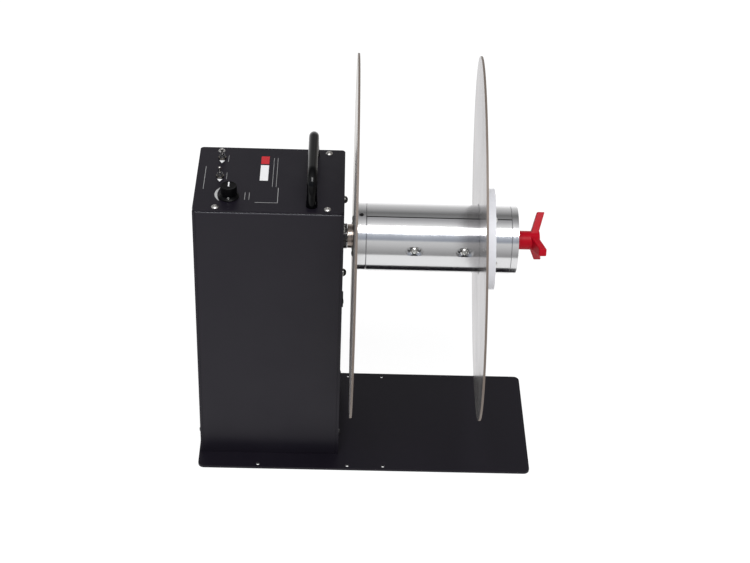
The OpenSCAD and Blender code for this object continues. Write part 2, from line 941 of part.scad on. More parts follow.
module motor_body() {
    color(dark_steel)
        difference() {
            union() {
                along_motor(bracket_u0 - motor_l)
                    cylinder(d = motor_d, h = motor_l);
                along_motor(bracket_u0)
                    cylinder(d = motor_boss_d, h = motor_boss_h);
            }
            along_motor(bracket_u0 - motor_shaft_in)
                cylinder(d = motor_shaft_d + 2 * run_gap, h = motor_shaft_in + motor_boss_h + cut);
            along_motor(bracket_u0 - motor_screw_grip)
                round_spindle(motor_screw_r, motor_screw_angles)
                    cylinder(d = small_screw_d + 2 * seat_gap, h = motor_screw_grip + cut);
        }
}

module motor_screws() {
    color(bright_metal)
        along_motor(bracket_u1)
            round_spindle(motor_screw_r, motor_screw_angles)
                cross_screw(small_screw_d, small_head_d, small_head_h, bracket_t + motor_screw_grip);
}

// A flat belt, just clear of both pulleys
module drive_belt() {
    color(rubber_black)
        along_spindle(belt_u - belt_w / 2)
            linear_extrude(belt_w)
                difference() {
                    polygon(belt_points(belt_gap + belt_t));
                    polygon(belt_points(belt_gap));
                }
}

// The motor controller: a board with a heat sink, two capacitors and a terminal block
module circuit_board() {
    face_x = board_x + board_t;
    sink = [18, 50, 30];
    terminal = [12, 40, 10];
    cap_d = 14;
    cap_l = 22;
    color(board_green)
        difference() {
            union() {
                span(
                    [board_x, -board_d / 2, board_z - board_h / 2],
                    [face_x, board_d / 2, board_z + board_h / 2]
                );
                translate([face_x, -sink[1] / 2, board_z])
                    cube(sink);
                translate([face_x, -terminal[1] / 2, board_z - board_h / 2 + board_inset])
                    cube(terminal);
                for (y = [-cap_d, cap_d])
                    translate([face_x, y, board_z - cap_d])
                        rotate([0, 90, 0])
                            cylinder(d = cap_d, h = cap_l);
            }
            for (p = board_screw_at)
                translate([board_x, p[0], p[1]])
                    rotate([0, 90, 0])
                        hole(small_screw_d + 2 * seat_gap, board_t);
        }
}

module board_standoffs() {
    color(bright_metal)
        for (p = board_screw_at)
            translate([inner_x0, p[0], p[1]])
                rotate([0, 90, 0])
                    difference() {
                        cylinder(d = standoff_d, h = standoff_l);
                        translate([0, 0, standoff_l - board_screw_grip])
                            cylinder(d = small_screw_d + 2 * seat_gap, h = board_screw_grip + cut);
                    }
}

module board_screws() {
    color(bright_metal)
        for (p = board_screw_at)
            translate([board_x + board_t, p[0], p[1]])
                rotate([0, 90, 0])
                    cross_screw(small_screw_d, small_head_d, small_head_h, board_t + board_screw_grip);
}

module potentiometer() {
    color(dark_steel)
        translate([knob_x, knob_y, panel_z])
            difference() {
                union() {
                    translate([0, 0, -pot_l])
                        cylinder(d = pot_d, h = pot_l);
                    cylinder(d = pot_bush_d, h = panel_t + pot_bush_h);
                }
                translate([0, 0, -pot_shaft_in])
                    cylinder(d = pot_shaft_d + 2 * run_gap, h = pot_shaft_in + panel_t + pot_bush_h + cut);
            }
}

module pot_nut() {
    color(bright_metal)
        translate([knob_x, knob_y, cab_top])
            hex_nut(pot_nut_af, pot_bush_d + 2 * seat_gap, pot_nut_t);
}

module pot_shaft() {
    color(bright_metal)
        translate([knob_x, knob_y, panel_z - pot_shaft_in + pass_gap])
            cylinder(d = pot_shaft_d, h = pot_shaft_in - pass_gap + panel_t + knob_h - knob_cap_t);
}

// The torque knob, hollow below for the nut and the bush
module torque_knob() {
    hollow_d = pot_nut_af / cos(30) + 2 * pass_gap;
    hollow_h = pot_bush_h + pass_gap;
    color(black_plastic)
        translate([knob_x, knob_y, cab_top])
            difference() {
                translate([0, 0, knob_lift]) {
                    cylinder(d = knob_d, h = knob_h - knob_lift);
                    cylinder(d1 = knob_skirt_d, d2 = knob_d, h = knob_skirt_h);
                }
                translate([0, 0, -cut])
                    cylinder(d = hollow_d, h = hollow_h + cut);
                translate([0, 0, -cut])
                    cylinder(d = pot_shaft_d + 2 * seat_gap, h = knob_h - knob_cap_t + cut);
            }
}

// A toggle switch's case below the panel and its bush through it
module switch_case(y) {
    color(dark_steel)
        translate([switch_x, y, panel_z])
            difference() {
                union() {
                    translate([-switch_body_size[0] / 2, -switch_body_size[1] / 2, -switch_body_size[2]])
                        cube(switch_body_size);
                    cylinder(d = bush_d, h = panel_t + bush_h);
                }
                translate([0, 0, panel_t + lever_pivot_h - lever_ball_d / 2 - pass_gap])
                    cylinder(d = lever_ball_d + 2 * lever_ball_gap, h = bush_h + cut);
            }
}

module range_switch_body() {
    switch_case(range_switch_y);
}

module direction_switch_body() {
    switch_case(direction_switch_y);
}

module switch_nuts() {
    color(bright_metal)
        for (y = [range_switch_y, direction_switch_y])
            translate([switch_x, y, cab_top])
                hex_nut(switch_nut_af, bush_d + 2 * seat_gap, switch_nut_t);
}

// A toggle lever on its ball, leaning to the front
module switch_lever(y) {
    color(bright_metal)
        translate([switch_x, y, cab_top + lever_pivot_h])
            rotate([lever_lean, 0, 0]) {
                sphere(d = lever_ball_d);
                cylinder(d1 = lever_neck_d, d2 = lever_tip_d, h = lever_l - lever_tip_d / 2);
                translate([0, 0, lever_l - lever_tip_d / 2])
                    sphere(d = lever_tip_d);
            }
}

module range_switch_lever() {
    switch_lever(range_switch_y);
}

module direction_switch_lever() {
    switch_lever(direction_switch_y);
}

module rocker_housing() {
    pocket_l = rocker_pivot + rocker_r + pass_gap;
    color(black_plastic)
        translate([cab_x1, 0, rocker_h])
            difference() {
                union() {
                    span(
                        [0, -rocker_bezel_w / 2, -rocker_bezel_h / 2],
                        [bezel_t, rocker_bezel_w / 2, rocker_bezel_h / 2]
                    );
                    span(
                        [-rocker_body_l, -rocker_body_w / 2, -rocker_body_h / 2],
                        [0, rocker_body_w / 2, rocker_body_h / 2]
                    );
                }
                span(
                    [-pocket_l, -pocket_w / 2, -pocket_h / 2],
                    [bezel_t + cut, pocket_w / 2, pocket_h / 2]
                );
                translate([-rocker_pivot, 0, 0])
                    rotate([90, 0, 0])
                        cylinder(
                            d = rocker_pin_d + 2 * run_gap,
                            h = rocker_bezel_w + 2 * cut,
                            center = true
                        );
            }
}

// A rocker with a shallow hollow along its face, on a pin, tipped to one side
module power_rocker() {
    rocker_w = pocket_w - 2 * pass_gap;
    end_rise = rocker_rise + rocker_r * tan(rocker_tilt);
    color(black_plastic)
        translate([cab_x1 - rocker_pivot, 0, rocker_h])
            rotate([90, -rocker_tilt, 0]) {
                linear_extrude(rocker_w, center = true)
                    intersection() {
                        circle(rocker_r);
                        polygon([
                            [-rocker_r, -rocker_r],
                            [end_rise, -rocker_r],
                            [rocker_rise, 0],
                            [end_rise, rocker_r],
                            [-rocker_r, rocker_r]
                        ]);
                    }
                cylinder(d = rocker_pin_d, h = rocker_body_w - 2 * rocker_pin_end, center = true);
            }
}

module power_inlet() {
    color(black_plastic)
        translate([inlet_x, rear_y, inlet_z])
            rotate([-90, 0, 0]) {
                difference() {
                    union() {
                        translate([0, 0, -inlet_l])
                            cylinder(d = inlet_d, h = inlet_l);
                        cylinder(d = inlet_lip_d, h = inlet_lip_t);
                    }
                    translate([0, 0, inlet_lip_t - inlet_socket_l])
                        cylinder(d = inlet_socket_d, h = inlet_socket_l + cut);
                }
                translate([0, 0, -inlet_l / 2])
                    cylinder(d = inlet_pin_d, h = inlet_l / 2 + inlet_lip_t - inlet_pin_drop);
            }
}

module inlet_nut() {
    color(bright_metal)
        translate([inlet_x, rear_y - cover_t - inlet_nut_t, inlet_z])
            rotate([-90, 0, 0])
                hex_nut(inlet_nut_af, inlet_d + 2 * seat_gap, inlet_nut_t);
}

module spindle_shaft() {
    color(bright_metal)
        along_spindle(shaft_u0)
            cylinder(d = shaft_d, h = shaft_u1 - shaft_u0);
}

module bearing_spacer() {
    u0 = housing_u0 + bearing_w + pass_gap;
    u1 = front_bearing_u1 - bearing_w - pass_gap;
    color(bright_metal)
        along_spindle(u0)
            tube(shaft_d + 2 * spacer_wall, shaft_d + 2 * seat_gap, u1 - u0);
}

module shaft_collar() {
    color(dark_steel)
        along_spindle(pulley_u1 + shaft_collar_gap)
            tube(shaft_collar_d, shaft_d + 2 * seat_gap, shaft_collar_l);
}

// A pulley with a rim at each end
module pulley(d, bore_d) {
    difference() {
        union() {
            cylinder(d = d, h = pulley_w);
            for (z = [0, pulley_w - rim_t])
                translate([0, 0, z])
                    cylinder(d = d + 2 * rim_h, h = rim_t);
        }
        hole(bore_d + 2 * seat_gap, pulley_w);
    }
}

module spindle_pulley() {
    color(bright_metal)
        along_spindle(pulley_u0)
            pulley(spindle_pulley_d, shaft_d);
}

module motor_pulley() {
    color(bright_metal)
        along_motor(pulley_u0)
            pulley(motor_pulley_d, motor_shaft_d);
}

module motor_shaft() {
    u0 = bracket_u0 - motor_shaft_in + pass_gap;
    color(bright_metal)
        along_motor(u0)
            cylinder(d = motor_shaft_d, h = pulley_u1 + motor_shaft_out - u0);
}

module drive_hub() {
    color(bright_metal)
        along_spindle(hub_u0)
            tube(hub_d, shaft_d + 2 * seat_gap, disc_u0 - hub_u0);
}

module inner_disc() {
    color(bright_metal)
        along_spindle(disc_u0)
            difference() {
                tube(disc_d, shaft_d + 2 * seat_gap, disc_t);
                round_spindle(core_screw_r, core_screw_angles)
                    hole(screw_d + 2 * seat_gap, disc_t);
            }
}

// Screws from behind the inner disc, through the collar and into the chuck core
module inner_disc_screws() {
    color(dark_steel)
        along_spindle(disc_u0)
            round_spindle(core_screw_r, core_screw_angles)
                mirror([0, 0, 1])
                    cross_screw(screw_d, screw_head_d, screw_head_h, disc_t + collar_l + core_screw_grip);
}

module chuck_collar() {
    color(bright_metal)
        along_spindle(disc_u1)
            difference() {
                tube(chuck_d, shaft_d + 2 * seat_gap, collar_l);
                round_spindle(core_screw_r, core_screw_angles)
                    hole(screw_d + 2 * seat_gap, collar_l);
                at_elevation(set_screw_angle)
                    translate([0, 0, collar_l / 2])
                        rotate([0, 90, 0])
                            cylinder(d = set_screw_d + 2 * seat_gap, h = chuck_r + cut);
            }
}

module collar_set_screw() {
    tip_r = shaft_d / 2 + seat_gap;
    screw_l = chuck_r - set_screw_sink - tip_r;
    color(dark_steel)
        along_spindle(disc_u1 + collar_l / 2)
            at_elevation(set_screw_angle)
                translate([tip_r, 0, 0])
                    rotate([0, 90, 0])
                        difference() {
                            cylinder(d = set_screw_d, h = screw_l);
                            translate([0, 0, screw_l - set_screw_key_l])
                                cylinder(d = set_screw_key_d / cos(30), h = set_screw_key_l + cut, $fn = 6);
                        }
}

// The chuck's core: a tube with a closed rear end, windows for the jaws' feet and screw holes
module chuck_core() {
    core_l = cap_u0 - collar_u1;
    color(bright_metal)
        along_spindle(collar_u1)
            difference() {
                cylinder(r = core_r, h = core_l);
                translate([0, 0, core_web_l])
                    cylinder(r = core_bore_r, h = core_l);
                translate([0, 0, -cut])
                    cylinder(d = shaft_d + 2 * seat_gap, h = shaft_grip + cut);
                hole(journal_d + 2 * run_gap, core_web_l);
                round_spindle(core_screw_r, core_screw_angles)
                    translate([0, 0, -cut])
                        cylinder(d = screw_d + 2 * seat_gap, h = core_screw_grip + cut);
                round_spindle(core_screw_r, jaw_slit_angles)
                    translate([0, 0, core_l - core_screw_grip])
                        cylinder(d = screw_d + 2 * seat_gap, h = core_screw_grip + cut);
                for (angle = jaw_angles)
                    at_elevation(angle) {
                        for (u = scroll_at)
                            translate([0, -foot_w / 2 - pass_gap, foot_station(u) - collar_u1 - pass_gap])
                                cube([chuck_r, foot_w + 2 * pass_gap, foot_l + 2 * pass_gap]);
                        for (z = slot_at)
                            translate([0, 0, jaw_end_gap + z])
                                rotate([0, 90, 0])
                                    cylinder(d = jaw_screw_d + 2 * seat_gap, h = chuck_r);
                    }
            }
}

module chuck_end_cap() {
    color(bright_metal)
        along_spindle(cap_u0)
            difference() {
                tube(chuck_d, scroll_shaft_d + 2 * run_gap, end_cap_l);
                round_spindle(core_screw_r, jaw_slit_angles) {
                    hole(screw_d + 2 * seat_gap, end_cap_l);
                    translate([0, 0, end_cap_l - cap_screw_sink])
                        cylinder(d = screw_head_d + 2 * pass_gap, h = cap_screw_sink + cut);
                }
            }
}

module end_cap_screws() {
    color(dark_steel)
        along_spindle(cap_u1 - cap_screw_sink)
            round_spindle(core_screw_r, jaw_slit_angles)
                cross_screw(
                    screw_d,
                    screw_head_d,
                    screw_head_h,
                    end_cap_l - cap_screw_sink + core_screw_grip
                );
}

// Guide screws of the jaws: their heads leave the jaws room to open
module jaw_screws() {
    color(bright_metal)
        along_spindle(jaw_u0)
            for (angle = jaw_angles)
                at_elevation(angle)
                    for (z = slot_at)
                        translate([jaw_screw_seat_r, 0, z])
                            rotate([0, 90, 0])
                                cross_screw(jaw_screw_d, jaw_screw_head_d, jaw_screw_head_h, jaw_screw_l);
}

// The outline of one jaw's shell across the spindle, less half a slit at each side
module jaw_outline() {
    reach = 4 * chuck_r;
    difference() {
        intersection() {
            difference() {
                circle(chuck_r);
                circle(jaw_inner_r);
            }
            polygon([
                [0, 0],
                [reach * cos(jaw_share / 2), -reach * sin(jaw_share / 2)],
                [reach * cos(jaw_share / 2), reach * sin(jaw_share / 2)]
            ]);
        }
        for (side = [-1, 1])
            rotate([0, 0, side * jaw_share / 2])
                translate([0, -slit_w / 2])
                    square([chuck_r + cut, slit_w]);
    }
}

// One jaw: a shell with two screw slots, and two feet whose pins ride in the scrolls
module jaw(angle) {
    color(bright_metal)
        along_spindle(jaw_u0)
            at_elevation(angle) {
                difference() {
                    linear_extrude(jaw_l)
                        jaw_outline();
                    for (z = slot_at)
                        translate([0, 0, z])
                            rotate([0, 90, 0]) {
                                linear_extrude(chuck_r + cut)
                                    oval_outline(shank_slot_l, shank_slot_w);
                                translate([0, 0, jaw_inner_r + slot_ledge])
                                    linear_extrude(jaw_wall)
                                        oval_outline(slot_l, slot_w);
                            }
                }
                for (u = scroll_at) {
                    translate([foot_inner_r, -foot_w / 2, foot_station(u) - jaw_u0])
                        cube([jaw_inner_r + jaw_wall / 2 - foot_inner_r, foot_w, foot_l]);
                    translate([scroll_pin_r, 0, u - scroll_gap - foot_l / 2 - jaw_u0])
                        cylinder(d = scroll_pin_d, h = foot_l / 2 + scroll_t);
                }
            }
}

module jaw_1() {
    jaw(jaw_angles[0]);
}

module jaw_2() {
    jaw(jaw_angles[1]);
}

module jaw_3() {
    jaw(jaw_angles[2]);
}

module scroll_shaft() {
    journal_u0 = shaft_u1 + pass_gap;
    step_u = collar_u1 + core_web_l + pass_gap;
    color(bright_metal) {
        along_spindle(journal_u0)
            cylinder(d = journal_d, h = step_u - journal_u0);
        along_spindle(step_u)
            cylinder(d = scroll_shaft_d, h = stem_u1 - step_u - stem_cap_t);
    }
}

// The spiral groove that one jaw's pin rides in, about the pin's place with the jaw in
module scroll_groove() {
    sweep = knob_turn + 2 * groove_over;
    turns = [for (i = [0:groove_steps]) i * sweep / groove_steps - groove_over];
    inner = [for (a = turns) groove_point(a, -groove_w / 2)];
    outer = [for (i = [groove_steps:-1:0]) groove_point(turns[i], groove_w / 2)];
    polygon(concat(inner, outer));
}

module scroll_discs() {
    color(dark_steel)
        for (u = scroll_at)
            along_spindle(u)
                linear_extrude(scroll_t)
                    difference() {
                        circle(scroll_r);
                        circle(d = scroll_shaft_d + 2 * seat_gap);
                        for (angle = jaw_angles)
                            rotate([0, 0, 270 - angle])
                                scroll_groove();
                    }
}

// An arm of the chuck knob: a tapered plate that leans outwards, long enough to be cut at its reach
module knob_arm() {
    arm_l = (arm_reach + arm_t * sin(arm_lean)) / cos(arm_lean) + cut;
    rotate([0, -arm_lean, 0])
        linear_extrude(arm_t)
            polygon([
                [arm_root_r, -arm_root_w / 2],
                [arm_l, -arm_tip_w / 2],
                [arm_l, arm_tip_w / 2],
                [arm_root_r, arm_root_w / 2]
            ]);
}

module chuck_knob() {
    color(red_plastic)
        difference() {
            union() {
                along_spindle(stem_u0)
                    cylinder(d = stem_d, h = stem_l);
                intersection() {
                    along_spindle(stem_u0)
                        cylinder(r = arm_reach, h = stem_l + arm_reach);
                    for (i = [0:2])
                        along_spindle(stem_u0 + arm_station)
                            at_elevation(arm_angle + i * jaw_share)
                                knob_arm();
                }
            }
            along_spindle(stem_u0 - cut)
                cylinder(d = scroll_shaft_d + 2 * seat_gap, h = stem_l - stem_cap_t + cut);
        }
}

// Places children drawn along local Z on the leaning outer disc, from its inner face
module on_outer_disc(z) {
    along_spindle(outer_disc_gap)
        rotate([outer_lean_back, -outer_lean_top, 0])
            translate([0, 0, z])
                children();
}

module outer_disc() {
    color(bright_metal)
        on_outer_disc(0)
            difference() {
                tube(disc_d, 2 * outer_bore_r, disc_t);
                round_spindle(flange_screw_r, flange_screw_angles)
                    hole(screw_d + 2 * seat_gap, disc_t);
            }
}

module flange_hub() {
    color(white_plastic)
        on_outer_disc(disc_t)
            difference() {
                tube(hub_ring_d, 2 * outer_bore_r, hub_ring_t);
                round_spindle(flange_screw_r, flange_screw_angles)
                    hole(screw_d + 2 * seat_gap, hub_ring_t);
            }
}

module flange_screws() {
    color(dark_steel)
        on_outer_disc(outer_hub_l)
            round_spindle(flange_screw_r, flange_screw_angles)
                cross_screw(screw_d, screw_head_d, screw_head_h, outer_hub_l);
}

base_plate();
left_side_plate();
right_side_plate();
front_cover();
rear_cover();
top_panel();
base_screws();
side_screws();
top_panel_screws();
carry_handle();
handle_screws();
bearing_housing();
housing_screws();
front_bearing();
rear_bearing();
motor_bracket();
motor_body();
motor_screws();
drive_belt();
circuit_board();
board_standoffs();
board_screws();
potentiometer();
pot_nut();
range_switch_body();
direction_switch_body();
switch_nuts();
rocker_housing();
power_inlet();
inlet_nut();
spindle_shaft();
bearing_spacer();
shaft_collar();
spindle_pulley();
drive_hub();
inner_disc();
inner_disc_screws();
chuck_collar();
collar_set_screw();
chuck_core();
chuck_end_cap();
end_cap_screws();
jaw_screws();
motor_shaft();
motor_pulley();
torque_knob();
pot_shaft();
range_switch_lever();
direction_switch_lever();
power_rocker();
chuck_knob();
scroll_shaft();
scroll_discs();
jaw_1();
jaw_2();
jaw_3();
outer_disc();
flange_hub();
flange_screws();
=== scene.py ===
# %% [markdown]
# # A label rewinder, from bare solids to a product portrait
# The machine's solids come with their true sizes and places, but with knife edges and no finish. Each
# step of this lesson takes one piece or one finish of the real machine, says what it is, and makes it.
# All lengths below are in millimetres unless a name says otherwise, and MM turns them into metres.

# %% Load the solids
import json
import math
from contextlib import contextmanager

import bpy
from mathutils import Matrix, Vector


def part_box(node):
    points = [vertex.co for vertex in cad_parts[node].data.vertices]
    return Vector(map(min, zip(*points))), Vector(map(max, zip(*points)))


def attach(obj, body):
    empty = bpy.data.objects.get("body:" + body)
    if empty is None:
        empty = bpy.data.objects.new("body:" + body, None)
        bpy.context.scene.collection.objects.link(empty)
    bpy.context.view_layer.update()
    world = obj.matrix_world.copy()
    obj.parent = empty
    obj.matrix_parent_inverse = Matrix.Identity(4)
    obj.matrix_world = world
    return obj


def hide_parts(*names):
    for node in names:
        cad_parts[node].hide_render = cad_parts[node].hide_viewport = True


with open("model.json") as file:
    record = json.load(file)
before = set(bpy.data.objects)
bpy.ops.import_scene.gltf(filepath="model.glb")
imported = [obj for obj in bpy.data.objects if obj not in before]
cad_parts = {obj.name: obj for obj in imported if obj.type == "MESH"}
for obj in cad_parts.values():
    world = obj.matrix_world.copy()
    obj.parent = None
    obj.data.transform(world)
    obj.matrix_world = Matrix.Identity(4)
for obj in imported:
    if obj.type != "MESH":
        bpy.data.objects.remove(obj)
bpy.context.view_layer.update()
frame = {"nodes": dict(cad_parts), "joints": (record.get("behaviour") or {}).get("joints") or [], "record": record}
MM = 0.001
nodes = frame["nodes"]
joints = {joint["name"]: joint for joint in frame["joints"]}
body_of_node = {n: body for body, names in frame["record"]["behaviour"]["bodies"].items() for n in names}

# %% [markdown]
# ## The camera
# A product photographer stands in front of the machine, well above it, with a long lens. The place and
# the three turns below put every edge of the solids where the photograph shows it. The camera comes
# first, so that each later step can be judged through it.

# %% Camera
CAMERA_AT = Vector((-39.7, -1519.8, 1340.7)) * MM
CAMERA_YAW = math.radians(1.736)
CAMERA_PITCH = math.radians(36.578)
CAMERA_ROLL = math.radians(2.372)
LENS = 79.58
FARTHEST_M = 50

level = math.cos(CAMERA_PITCH)
forward = Vector((math.sin(CAMERA_YAW) * level, math.cos(CAMERA_YAW) * level, -math.sin(CAMERA_PITCH)))
flat_right = Vector((math.cos(CAMERA_YAW), -math.sin(CAMERA_YAW), 0))
flat_up = flat_right.cross(forward)
right = math.cos(CAMERA_ROLL) * flat_right + math.sin(CAMERA_ROLL) * flat_up
up = math.cos(CAMERA_ROLL) * flat_up - math.sin(CAMERA_ROLL) * flat_right

camera = bpy.data.objects.new("camera", bpy.data.cameras.new("camera"))
bpy.context.scene.collection.objects.link(camera)
camera.matrix_world = Matrix.Translation(CAMERA_AT) @ Matrix((right, up, -forward)).transposed().to_4x4()
camera.data.lens = LENS
camera.data.clip_end = FARTHEST_M
bpy.context.scene.camera = camera
print("camera looks down by", round(math.degrees(CAMERA_PITCH), 1), "degrees")

# %% [markdown]
# ## How a finish is written down
# A finish is a shader with a few patterns. Colours are written as the hex values that a painter would
# read off a screen, and one function turns them into the linear numbers that light is added up in.
# Another small function adds one node, sets it and links it, so a finish reads from top to bottom.

# %% Helpers for finishes
def linear(hex_colour):
    """The linear RGBA of an sRGB hex colour."""
    shares = [int(hex_colour[i:i + 2], 16) / 255 for i in (1, 3, 5)]
    return [s / 12.92 if s <= 0.04045 else ((s + 0.055) / 1.055) ** 2.4 for s in shares] + [1]


def add(tree, kind, sockets, **settings):
    """Adds one node: its settings are properties, and its sockets are values or outputs to link."""
    made = tree.nodes.new(kind)
    for name, value in settings.items():
        setattr(made, name, value)
    for key, value in sockets.items():
        if isinstance(value, bpy.types.NodeSocket):
            tree.links.new(value, made.inputs[key])
        else:
            made.inputs[key].default_value = value
    return made


def start_finish(name, hex_colour, **sockets):
    """A new material with one shader: its tree, the shader and its object coordinates."""
    material = bpy.data.materials.new(name)
    material.use_nodes = True
    tree = material.node_tree
    shader = tree.nodes["Principled BSDF"]
    shader.inputs["Base Color"].default_value = linear(hex_colour)
    for key, value in sockets.items():
        shader.inputs[key.replace("_", " ")].default_value = value
    return material, tree, shader, tree.nodes.new("ShaderNodeTexCoord").outputs["Object"]


def noise(tree, place, size, detail):
    """A noise whose grains are this many millimetres across."""
    sockets = {"Vector": place, "Scale": 1 / (size * MM), "Detail": detail}
    return add(tree, "ShaderNodeTexNoise", sockets).outputs["Fac"]


def vary_roughness(tree, shader, pattern, low, high):
    """Lets a noise's usual values move the roughness between two limits."""
    sockets = {"Value": pattern, "From Min": 0.3, "From Max": 0.7, "To Min": low, "To Max": high}
    varied = add(tree, "ShaderNodeMapRange", sockets)
    tree.links.new(varied.outputs["Result"], shader.inputs["Roughness"])


def emboss(tree, shader, height, strength, depth):
    """Raises a pattern on the surface by a bump of a depth in millimetres."""
    bump = add(tree, "ShaderNodeBump", {"Height": height, "Strength": strength, "Distance": depth * MM})
    tree.links.new(bump.outputs["Normal"], shader.inputs["Normal"])


print("helpers for finishes ready")

# %% [markdown]
# ## Powder coat
# The cabinet and the base plate are mild steel with a baked black polyester powder. It is never quite
# flat: the powder flows into a fine orange peel about half a millimetre across, and the sheen drifts a
# little from place to place. A noise bump gives the peel, drawn at 1.4 mm so that it shows from here,
# and a broad noise moves the roughness.

# %% Powder-coated steel
PEEL = 1.4
SHEEN_DRIFT = 55


def powder_coat(name, hex_colour, roughness, shine):
    """Black powder with an orange peel and a drifting sheen."""
    material, tree, shader, place = start_finish(name, hex_colour, Specular_IOR_Level=shine)
    emboss(tree, shader, noise(tree, place, PEEL, detail=2.0), strength=0.12, depth=0.1)
    drift = noise(tree, place, SHEEN_DRIFT, detail=3.0)
    vary_roughness(tree, shader, drift, roughness - 0.05, roughness + 0.05)
    return material


black_powder = powder_coat("black powder-coated steel", "#15121a", roughness=0.42, shine=0.25)
# A darker, less shiny copy of the same powder: painted shade. The base plate, shaded by the discs, takes it, and
# so does the top panel.
dimmed_powder = powder_coat("black powder-coated steel dimmed as painted shade", "#131018", roughness=0.42, shine=0.17)
print("finishes:", black_powder.name, dimmed_powder.name)

# %% [markdown]
# ## Turned metal
# The chuck is turned on a lathe. The tool leaves fine rings round the axis, so the surface changes along
# the axis and outwards, but not round it. Two numbers say where a point is on the lathe: how far along
# the spindle and how far out from it. A noise of just those two gives rings on the barrel and circles on
# the end faces. The drive hub's rings are much deeper, and the discs' cut rims are dull.

# %% Turned metals
SPINDLE = Vector(joints["spindle_spin"]["pos_m"])
SMEAR = 30


def lathe_place(tree, place):
    """Object coordinates as a lathe sees them: along the spindle, and out from it."""
    centred = add(tree, "ShaderNodeVectorMath", {0: place, 1: (0, 0, SPINDLE.z)}, operation="SUBTRACT")
    split = add(tree, "ShaderNodeSeparateXYZ", {0: centred.outputs[0]})
    across = add(tree, "ShaderNodeCombineXYZ", {1: split.outputs[1], 2: split.outputs[2]})
    out = add(tree, "ShaderNodeVectorMath", {0: across.outputs[0]}, operation="LENGTH")
    return add(tree, "ShaderNodeCombineXYZ", {0: split.outputs[0], 1: out.outputs["Value"]}).outputs[0]


def turned_metal(name, hex_colour, roughness, ring, strength, metallic=1.0):
    """Metal with rings round the spindle, and a gloss that the rings and a faint smear move."""
    material, tree, shader, place = start_finish(name, hex_colour, Metallic=metallic)
    rings = noise(tree, lathe_place(tree, place), ring, detail=4.0)
    emboss(tree, shader, rings, strength, depth=0.03)
    smear = noise(tree, place, SMEAR, detail=4.0)
    both = add(tree, "ShaderNodeMath", {0: rings, 1: smear}, operation="ADD").outputs[0]
    mean = add(tree, "ShaderNodeMath", {0: both, 1: 0.5}, operation="MULTIPLY").outputs[0]
    vary_roughness(tree, shader, mean, roughness - 0.04, roughness + 0.04)
    return material


turned_aluminium = turned_metal("turned aluminium", "#d2d2d3", 0.15, ring=1.6, strength=0.05)
ground_steel = turned_metal("ground bright steel", "#b9b6b2", 0.22, ring=1.2, strength=0.05)
grooved_steel = turned_metal("coarsely turned steel", "#a89c94", 0.26, ring=1.5, strength=0.9)
cut_rim = turned_metal("cut aluminium rim", "#6b6058", 0.6, ring=0.8, strength=0.2, metallic=0.25)
print("finishes:", turned_aluminium.name, grooved_steel.name, cut_rim.name)

# %% [markdown]
# ## Rolled sheet
# The discs are cut from rolled aluminium sheet. The rolls leave a faint straight grain, which a noise
# that is stretched along one axis gives. The inner disc is satin. The outer one is brighter: seen at a
# low angle it mirrors the chuck, and a grey edge tint keeps it from going white there. A fifth of it is
# plain grey and not mirror, so its foot doesn't vanish over the black base plate.

# %% Rolled aluminium
GRAIN = 1.5
GRAIN_STRETCH = 0.04
GLOSS_DRIFT = 80


def rolled_sheet(name, hex_colour, roughness, metallic=1.0, edge_tint="#ffffff"):
    """Sheet metal with a straight upright grain and a drifting gloss."""
    tint = linear(edge_tint)
    material, tree, shader, place = start_finish(name, hex_colour, Metallic=metallic, Specular_Tint=tint)
    stretch = {"Vector": place, "Scale": (1, 1, GRAIN_STRETCH)}
    lengthwise = add(tree, "ShaderNodeMapping", stretch).outputs[0]
    emboss(tree, shader, noise(tree, lengthwise, GRAIN, detail=3.0), strength=0.06, depth=0.03)
    drift = noise(tree, place, GLOSS_DRIFT, detail=3.0)
    vary_roughness(tree, shader, drift, roughness * 0.85, roughness * 1.15)
    return material


satin_aluminium = rolled_sheet("satin rolled aluminium", "#cbc8c5", 0.4)
bright_aluminium = rolled_sheet("bright rolled aluminium", "#d0cecc", 0.19, 0.8, edge_tint="#bbb9bc")
print("finishes:", satin_aluminium.name, bright_aluminium.name)

# %% [markdown]
# ## Screws, switches and small metal
# Zinc plate is bright with a faint cloudiness, chrome is a clean mirror, and the blackened screws are
# dark with an oily gloss. They are all one recipe with other numbers: a metal with a cloudy gloss.

# %% Plated metals
def plated_metal(name, hex_colour, roughness, cloud, metallic=1.0):
    """Plated metal whose gloss is cloudy."""
    material, tree, shader, place = start_finish(name, hex_colour, Metallic=metallic)
    clouds = noise(tree, place, cloud, detail=3.0)
    emboss(tree, shader, clouds, strength=0.03, depth=0.05)
    vary_roughness(tree, shader, clouds, roughness * 0.7, roughness * 1.3)
    return material


zinc_plate = plated_metal("bright zinc plate", "#d0d0cd", 0.24, cloud=2.5)
satin_zinc = plated_metal("satin zinc plate", "#b6b4b1", 0.4, cloud=2.5)
dull_zinc = plated_metal("dull zinc plate", "#a9a9a6", 0.5, cloud=3, metallic=0.3)
chrome = plated_metal("chrome plate", "#a6a3a0", 0.1, cloud=4)
dark_nickel = plated_metal("dark nickel plate", "#76716b", 0.25, cloud=3)
black_oxide = plated_metal("black oxide steel", "#4a494a", 0.3, cloud=2)
motor_zinc = plated_metal("dull zinc motor case", "#77777a", 0.4, cloud=6)
print("finishes:", zinc_plate.name, chrome.name, black_oxide.name)

# %% [markdown]
# ## Moulded plastics, rubber, board and ink
# Moulded plastic takes the mould's own texture: a spark-eroded mould leaves a fine even grain. The handle
# came from a polished mould and is glossy. The same recipe serves the red chuck knob, the black control
# knob and switch, the white flange hub, the belt, the circuit board and the inks, each with its own grain.

# %% Plastics
HANDLING = 18


